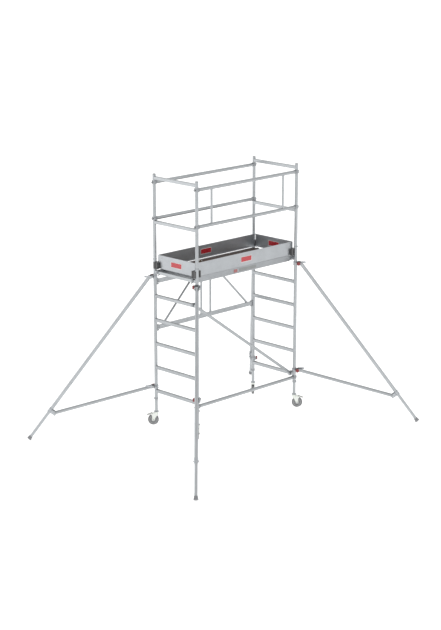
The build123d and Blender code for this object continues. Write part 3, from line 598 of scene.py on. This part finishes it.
def coupler_parts(z, pivot, outline, block_drop, bar_low):
    """Cast, steel, black and red shapes of one coupler, in the outrigger's own axes."""
    metal = [jaw(z, 1), jaw(z, -1)]
    block = rectangle(jaw_r - 0.003, z - block_drop, bolt_s + 0.002, z + 0.016)
    metal.append(slab(block, "xz", -0.012, 0.012, 0.001))
    steel = []
    for side in (-1, 1):
        metal.append(cheek(rounded(outline, 0.010), side))
        spacer_end = (bolt_s, side * cheek_in, z)
        metal.append(tube((bolt_s, side * 0.012, z), spacer_end, 0.009, 0.005))
        lug_t = side * (jaw_r + 0.007)
        steel.append(rod((-0.013, lug_t, z), (0.013, lug_t, z), 0.004))
        for s_side in (-1, 1):
            start, end = sorted((s_side * 0.009, s_side * 0.0155))
            steel.append(slab(hexagon((lug_t, z), 0.0068), "yz", start, end, 0.0007))
    for s, height in ((pivot[0], pivot[2]), (bolt_s, z)):
        steel.append(rod((s, -0.030, height), (s, cheek_out + 0.001, height), 0.005))
        steel.append(bolt_head((s, cheek_out, height), 1))
    steel.append(bolt_head((pivot[0], -cheek_out, pivot[2]), -1))
    bar_z = z + bar_low
    bar = rounded(rectangle(0.044, bar_z, 0.121, bar_z + 0.017), 0.005)
    metal.append(slab(bar, "xz", cheek_out - 0.003, cheek_in + 0.014, 0.0015))
    for k in range(4):
        groove = rectangle(0.078 + 0.010 * k, bar_z - 0.0008, 0.082 + 0.010 * k, bar_z + 0.0178)
        metal.append(slab(groove, "xz", cheek_in + 0.006, cheek_in + 0.0145, 0.0006))
    cover_top = z + 0.0215
    cover = [(0.026, z + 0.0155), (0.054, z + 0.0155), (0.060, cover_top - 0.003), (0.054, cover_top),
             (0.026, cover_top)]
    black = [slab(rounded(cover, 0.003), "xz", -0.0165, 0.0165, 0.0015)]
    return metal, steel, black, [knob(z)]


outrigger_apex = 2.028
upper_z = 1.944
lower_z = 0.648
upper_pivot = Vector((0.072, 0, outrigger_apex + leg_slope.z * 0.072 / leg_slope.x))
strut_start = Vector((0.080, 0, lower_z - 0.010))
strut_end = Vector((1.164, 0, 0.331))
sleeve_s = 1.220
leg_r = 0.020


def on_leg(s):
    return Vector((s, 0, outrigger_apex + leg_slope.z * s / leg_slope.x))


def sleeve_parts():
    """Sleeve on the leg with two square ears for the strut."""
    centre = on_leg(sleeve_s)
    along = leg_slope.normalized()
    below = Vector((along.z, 0, -along.x))
    metal = [tube(centre - along * 0.028, centre + along * 0.028, leg_r + 0.004, leg_r + 0.0001, 0.001)]
    for offset in (-0.022, 0.016):
        start = centre + along * offset
        metal.append(tube(start, start + along * 0.006, leg_r + 0.0052, leg_r + 0.003, 0.001))
    corner_points = []
    for offset, depth in ((-0.021, 0.014), (-0.021, 0.080), (0.021, 0.080), (0.021, 0.014)):
        point = centre + along * offset + below * depth
        corner_points.append((point.x, point.z))
    outline = rounded(corner_points, 0.008)
    for side in (-1, 1):
        t0, t1 = sorted((side * cheek_in, side * (cheek_in + 0.0034)))
        metal.append(slab(outline, "xz", t0, t1, 0.0008))
    steel = [rod((strut_end.x, -0.027, strut_end.z), (strut_end.x, 0.027, strut_end.z), 0.005)]
    for side in (-1, 1):
        steel.append(bolt_head((strut_end.x, side * (cheek_in + 0.0034), strut_end.z), side, 0.0075))
    return metal, steel


for c in corners:
    upper_outline = [
        (0.028, upper_z - 0.014), (0.028, upper_z + 0.014), (0.036, upper_z + 0.017),
        (0.076, upper_pivot.z + 0.014), (0.087, upper_pivot.z + 0.006), (0.089, upper_pivot.z - 0.006),
        (0.080, upper_pivot.z - 0.015), (0.062, upper_pivot.z - 0.014),
    ]
    lower_outline = [
        (0.028, lower_z - 0.014), (0.028, lower_z + 0.014), (0.036, lower_z + 0.017),
        (0.092, lower_z + 0.009), (0.097, lower_z - 0.004), (0.090, lower_z - 0.020),
        (0.070, lower_z - 0.022), (0.036, lower_z - 0.017),
    ]
    groups = [[], [], [], []]
    upper = coupler_parts(upper_z, upper_pivot, upper_outline, 0.008, -0.004)
    lower = coupler_parts(lower_z, strut_start, lower_outline, 0.016, 0.004)
    for parts in (upper, lower):
        for group, made in zip(groups, parts):
            group.extend(made)
    for group, made in zip(groups, sleeve_parts()):
        group.extend(made)
    names = ("coupler_jaws", "coupler_bolts", "coupler_covers", "coupler_knobs")
    materials = (coupler_casting, bolt_steel, black_plastic, knob_plastic)
    slots = ("coupler_metal", "zinc_steel", "black_plastic", "coupler_metal")
    made = []
    for name, group, material, slot in zip(names, groups, materials, slots):
        shape = moved(joined(group), corner_matrix(c))
        made.append(new_piece(f"{name}_{c}", shape, f"outrigger_{c}", material))
    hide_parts(f"outrigger_couplers_{c}")


# --- outrigger feet -----------------------------------------------------------
leg_length = outrigger_apex / -leg_slope.z
foot_r = 0.027
foot_length = 0.040
foot_end = leg_length - foot_r * leg_slope.x / -leg_slope.z
inner_r = 0.01745


def leg_point(distance):
    return Vector((0, 0, outrigger_apex)) + leg_slope * distance


def foot_profile():
    """Half section of the rubber foot: ribs round the neck, a flared sole with a hollow."""
    profile = [(inner_r, 0.0), (0.0205, 0.0), (0.0213, 0.001)]
    for k in range(2):
        z = 0.004 + 0.007 * k
        profile += [(0.0213, z), (0.0222, z + 0.001), (0.0222, z + 0.004), (0.0213, z + 0.005)]
    sole = foot_length - 0.002
    profile += [(0.0225, 0.019), (0.0245, 0.026), (foot_r - 0.0006, 0.031), (foot_r, 0.033)]
    profile += [(foot_r, sole + 0.0005), (foot_r - 0.0015, foot_length), (0.022, foot_length), (0.020, sole)]
    profile += [(0.008, sole), (0.0005, sole), (0.0005, sole - 0.009), (inner_r, sole - 0.010)]
    return profile


for c in corners:
    place = corner_matrix(c)
    start = leg_point(sleeve_s / leg_slope.x - 0.330)
    shape = tube(start, leg_point(foot_end - 0.012), inner_r, inner_r - 0.0022, segments=48)
    shape = moved(shape, place)
    inner = new_piece(f"inner_leg_{c}", shape, f"outrigger_foot_{c}", leg_metal[c])
    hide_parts(f"outrigger_foot_{c}")
    shape = turned(foot_profile(), leg_point(foot_end - foot_length), leg_point(foot_end), 56)
    new_piece(f"rubber_foot_{c}", moved(shape, place), f"outrigger_foot_{c}", foot_rubber)
    centre = leg_point(foot_end - foot_length - 0.022)
    dome = [(0.0002, 0), (0.0048, 0), (0.005, 0.003), (0.0042, 0.0042), (0.0025, 0.005), (0.0002, 0.0053)]
    base = centre + Vector((0, -inner_r + 0.001, 0))
    shape = moved(turned(dome, base, base + Vector((0, -0.005, 0)), 20), place)
    new_piece(f"leg_button_{c}", shape, f"outrigger_foot_{c}", bolt_steel)


# --- castor wheels ------------------------------------------------------------
wheel_r = 0.0625
wheel_half = 0.016


def tyre_profile():
    """Closed half section across the axle: crowned tread with two grooves, rounded shoulders."""
    shoulder = 0.008
    profile = []
    for angle in range(180, 89, -15):
        a = math.radians(angle)
        radius = wheel_r - shoulder + shoulder * math.sin(a)
        profile.append((radius, -wheel_half + shoulder + shoulder * math.cos(a)))
    for groove in (-0.005, 0.005):
        profile += [(wheel_r, groove - 0.0011), (wheel_r - 0.0018, groove - 0.0006)]
        profile += [(wheel_r - 0.0018, groove + 0.0006), (wheel_r, groove + 0.0011)]
    for angle in range(90, -1, -15):
        a = math.radians(angle)
        radius = wheel_r - shoulder + shoulder * math.sin(a)
        profile.append((radius, wheel_half - shoulder + shoulder * math.cos(a)))
    profile += [(0.0475, wheel_half), (0.0465, wheel_half - 0.0012), (0.046, wheel_half - 0.0014),
                (0.046, -wheel_half + 0.0014), (0.0465, -wheel_half + 0.0012), (0.0475, -wheel_half)]
    return profile


def core_shapes(centre, across):
    """Dished wheel core with eight ribs on each face, and a hub with rims."""
    half = wheel_half
    dish = [
        (0.0455, half - 0.0005), (0.0395, half - 0.0005), (0.039, half - 0.002), (0.0385, 0.0045),
        (0.0205, 0.0045), (0.019, half - 0.001), (0.0155, half - 0.0005),
    ]
    other_dish = [(radius, -across_at) for radius, across_at in reversed(dish)]
    rim = [(0.046, -half + 0.0015), (0.046, half - 0.0015), *dish, *other_dish]
    shapes = [turned(rim, centre, centre + across, 56)]
    hub_face = [
        (0.0155, half - 0.0004), (0.0135, half + 0.0008), (0.012, half + 0.002), (0.0051, half + 0.002),
    ]
    other_face = [(radius, -across_at) for radius, across_at in reversed(hub_face)]
    shapes.append(turned([*other_face, *hub_face], centre, centre + across, 40))
    for k in range(8):
        angle = 2 * math.pi * k / 8
        for side in (-1, 1):
            t0, t1 = sorted((side * 0.004, side * (half - 0.003)))
            rib = slab(rectangle(0.018, -0.0013, 0.040, 0.0013), "xz", t0, t1, 0.0006)
            turn = Matrix.Translation(centre) @ Matrix.Rotation(angle, 4, "Y")
            shapes.append(moved(rib, turn))
    return shapes


for c in corners:
    place = corner_matrix(c)
    axle = place.inverted() @ Vector(joints[f"wheel_spin_{c}"]["pos_m"])
    across = Vector((0, 1, 0))
    shape = moved(turned(tyre_profile(), axle, axle + across, 72), place)
    tyre = new_piece(f"tyre_{c}", shape, f"castor_wheel_{c}", tyre_rubber)
    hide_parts(f"castor_wheel_{c}")
    shape = moved(joined(core_shapes(axle, across)), place)
    new_piece(f"wheel_core_{c}", shape, f"castor_wheel_{c}", core_plastic)
    nuts = [slab(hexagon((axle.x, axle.z), 0.0075), "xz", *sorted((side * 0.0285, side * 0.0335)), 0.0008)
            for side in (-1, 1)]
    shape = moved(joined(nuts), place)
    new_piece(f"axle_nuts_{c}", shape, f"castor_fork_{c}", bolt_steel)


# --- small parts of the tower -------------------------------------------------
def dome(radius, height, steps=5):
    """Half section of a domed rivet head."""
    points = [(0.0002, -0.0004), (radius, -0.0004)]
    for k in range(steps + 1):
        angle = math.radians(90 * k / steps)
        points.append((max(radius * math.cos(angle), 0.0002), height * math.sin(angle)))
    return points


def rivets(spots, radius=0.0035, height=0.0018):
    """Domed heads at (point, outward direction) pairs."""
    return joined([turned(dome(radius, height), Vector(p), Vector(p) + Vector(d), 16) for p, d in spots])


caps = []
for c in corners:
    x, y = upright[c].xy
    cap = [(0.0002, -0.020), (0.0150, -0.020), (tube_r - 0.0021, -0.016), (tube_r - 0.0021, -0.0005)]
    cap += [(tube_r - 0.0002, -0.0001), (tube_r - 0.0002, 0.0015), (tube_r - 0.0015, 0.0030)]
    cap += [(0.010, 0.0042), (0.0002, 0.0045)]
    caps.append(turned(cap, (x, y, guard_top), (x, y, guard_top + 1), 40))
new_piece("upright_caps", joined(caps), "tower", cap_plastic)


def weld_bead(x, y_axis, z, side):
    """Rippled bead where a square bar meets an upright."""
    corner_r = 0.004
    perimeter = []
    for centre_x, centre_z, start in ((1, 1, 0), (-1, 1, 90), (-1, -1, 180), (1, -1, 270)):
        middle = (centre_x * (rung_half - corner_r), centre_z * (rung_half - corner_r))
        perimeter += arc(middle, corner_r, start, start + 90, 3)
    dense = []
    for i, point in enumerate(perimeter):
        following = perimeter[(i + 1) % len(perimeter)]
        gap = math.dist(point, following)
        steps = max(1, round(gap / 0.0035))
        for k in range(steps):
            u = k / steps
            dense.append((point[0] + (following[0] - point[0]) * u, point[1] + (following[1] - point[1]) * u))
    shape = bmesh.new()
    rings = []
    around = 6
    for i, (px, pz) in enumerate(dense):
        depth = math.sqrt(max(tube_r ** 2 - px ** 2, 0))
        centre = Vector((x + px, y_axis + side * depth, z + pz))
        outward = Vector((px, 0, pz)).normalized()
        inward = Vector((0, side, 0))
        radius = 0.0022 * (1 + 0.22 * math.sin(i * 2.1) + random.uniform(-0.08, 0.08))
        ring = []
        for k in range(around):
            angle = 2 * math.pi * k / around
            aside = outward * radius * math.cos(angle) + inward * radius * math.sin(angle)
            ring.append(shape.verts.new(centre + aside))
        rings.append(ring)
    for i, ring in enumerate(rings):
        following = rings[(i + 1) % len(rings)]
        for k in range(around):
            m = (k + 1) % around
            shape.faces.new((ring[k], ring[m], following[m], following[k]))
    return shape


beads = []
for sx in (-1, 1):
    for sy in (-1, 1):
        for z in rung_heights + end_bar_heights:
            beads.append(weld_bead(sx * half_length, sy * half_width, z, -sy))
new_piece("weld_beads", joined(beads), "tower", coupler_casting, 60)

spots = []
rail_end = half_length - 0.034
for z in side_rail_heights:
    for sx in (-1, 1):
        for sy in (-1, 1):
            for inset in (0.018, 0.042):
                for facing in (-1, 1):
                    point = (sx * (rail_end - inset), sy * half_width + facing * tube_r, z)
                    spots.append((point, (0, facing, 0)))
for sx in (-1, 1):
    for facing in (-1, 1):
        point = (sx * (rail_end - 0.020), -half_width + facing * tube_r, brace_height)
        spots.append((point, (0, facing, 0)))
new_piece("rail_rivets", rivets(spots), "tower", bolt_steel)

deck_low, deck_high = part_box("deck_board")
spots = []
for k in range(7):
    x = deck_low.x + 0.030 + (deck_high.x - deck_low.x - 0.060) * k / 6
    for y in (deck_low.y + 0.010, deck_high.y - 0.010):
        spots.append(((x, y, deck_high.z), (0, 0, 1)))
for x in (deck_high.x - 0.012, deck_low.x + 0.012):
    for y in (-0.18, 0.0, 0.18):
        spots.append(((x, y, deck_high.z), (0, 0, 1)))
new_piece("deck_rivets", rivets(spots, 0.005, 0.0018), "tower", bolt_steel)

board_low, board_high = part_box("toe_board_front")
board_middle = (board_low.z + board_high.z) / 2


def badge(spot, length, height, corner_r, thickness, bevel):
    """Flat rectangle with rounded corners on a board's face. spot is (centre, along, facing)."""
    centre, along, facing = spot
    turn = Matrix((Vector(along), Vector((0, 0, 1)), Vector(facing))).transposed().to_4x4()
    outline = rounded(rectangle(-length / 2, -height / 2, length / 2, height / 2), corner_r)
    return moved(slab(outline, "xy", 0.0, thickness, bevel), Matrix.Translation(centre) @ turn)


right_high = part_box("toe_board_right")[1]
rear_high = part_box("toe_board_rear")[1]
left_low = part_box("toe_board_left")[0]
web = 0.003
badge_spots = [
    (Vector((0.010, board_low.y, board_middle)), (1, 0, 0), (0, -1, 0)),
    (Vector((left_low.x, 0.0, board_middle)), (0, -1, 0), (-1, 0, 0)),
    (Vector((-0.030, rear_high.y - web, board_middle)), (1, 0, 0), (0, -1, 0)),
    (Vector((right_high.x - web, 0.0, board_middle)), (0, -1, 0), (-1, 0, 0)),
]
lenses = [badge(spot, 0.164, 0.054, 0.004, 0.0030, 0.001) for spot in badge_spots]
new_piece("reflectors", joined(lenses), "tower", red_lens)
rims = [badge(spot, 0.178, 0.068, 0.006, 0.0018, 0.0006) for spot in badge_spots]
new_piece("reflector_rims", joined(rims), "tower", moulded("rim_white", (0.62, 0.60, 0.60), 0.4))

beam_low, beam_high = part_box("platform_beams")
beam_z = (beam_low.z + beam_high.z) / 2
plate_half = 0.018


def beam_label(x0, x1):
    """Thin blank plate on the outer face of the front beam."""
    outline = rounded(rectangle(x0, beam_z - plate_half, x1, beam_z + plate_half), 0.003)
    return slab(outline, "xz", beam_low.y - 0.0012, beam_low.y + 0.0002, 0.0004)


new_piece("beam_plate", beam_label(-0.095, 0.175), "tower", plate_metal)
tag_red = moulded("tag_red", (0.36, 0.13, 0.13), 0.45)
new_piece("beam_tag", beam_label(-0.185, -0.128), "tower", tag_red)


# --- stage, light and camera --------------------------------------------------
def stage_floor():
    """White table lit from below, so that it stays plain and pale."""
    n = Nodes("floor")
    speck = n.noise(n.place(), 3, 4.0)
    base = n.blend(n.span(speck, 0.3, 0.7), (0.78, 0.78, 0.78), (0.80, 0.80, 0.80))
    material = n.set(Base_Color=base, Roughness=0.9, Emission_Color=(1.0, 1.0, 1.0), Emission_Strength=0.55)
    shape = bmesh.new()
    bmesh.ops.create_grid(shape, x_segments=8, y_segments=8, size=150)
    mesh = bpy.data.meshes.new("floor")
    shape.to_mesh(mesh)
    shape.free()
    mesh.materials.append(material)
    obj = bpy.data.objects.new("floor", mesh)
    bpy.context.scene.collection.objects.link(obj)


def studio_world():
    """White walls that darken overhead."""
    world = bpy.data.worlds.new("studio")
    world.use_nodes = True
    tree = world.node_tree
    place = tree.nodes.new("ShaderNodeTexCoord")
    apart = tree.nodes.new("ShaderNodeSeparateXYZ")
    height = tree.nodes.new("ShaderNodeMapRange")
    height.interpolation_type = "SMOOTHSTEP"
    numbers = {"From Min": 0.05, "From Max": 0.85, "To Min": 1.02, "To Max": 0.88}
    for socket, number in numbers.items():
        height.inputs[socket].default_value = number
    tree.links.new(place.outputs["Generated"], apart.inputs[0])
    tree.links.new(apart.outputs["Z"], height.inputs["Value"])
    tree.links.new(height.outputs["Result"], tree.nodes["Background"].inputs["Strength"])
    tree.nodes["Background"].inputs["Color"].default_value = (1.0, 1.0, 1.0, 1.0)
    bpy.context.scene.world = world


def area_light(name, place, aim, size, power):
    data = bpy.data.lights.new(name, "AREA")
    data.size = size
    data.energy = power
    obj = bpy.data.objects.new(name, data)
    obj.location = place
    obj.rotation_euler = (Vector(aim) - Vector(place)).to_track_quat("-Z", "Y").to_euler()
    bpy.context.scene.collection.objects.link(obj)


stage_floor()
studio_world()
bpy.context.scene.view_settings.view_transform = "Standard"

low, high = cad_box
middle = (low + high) / 2
area_light("left_softbox", middle + Vector((-8, 7, 1.5)), middle, 6, 60)

elevation = math.radians(15.0)
azimuth = math.radians(45.04)
view_direction = Vector((math.sin(azimuth) * math.cos(elevation), math.cos(azimuth) * math.cos(elevation),
                         -math.sin(elevation)))
camera_place = Vector((-13.642, -13.527, 6.554))
camera_data = bpy.data.cameras.new("camera")
camera_data.sensor_width = 36.0
camera_data.lens = 98.6
camera = bpy.data.objects.new("camera", camera_data)
camera.location = camera_place
camera.rotation_euler = view_direction.to_track_quat("-Z", "Y").to_euler()
bpy.context.scene.collection.objects.link(camera)
bpy.context.scene.camera = camera
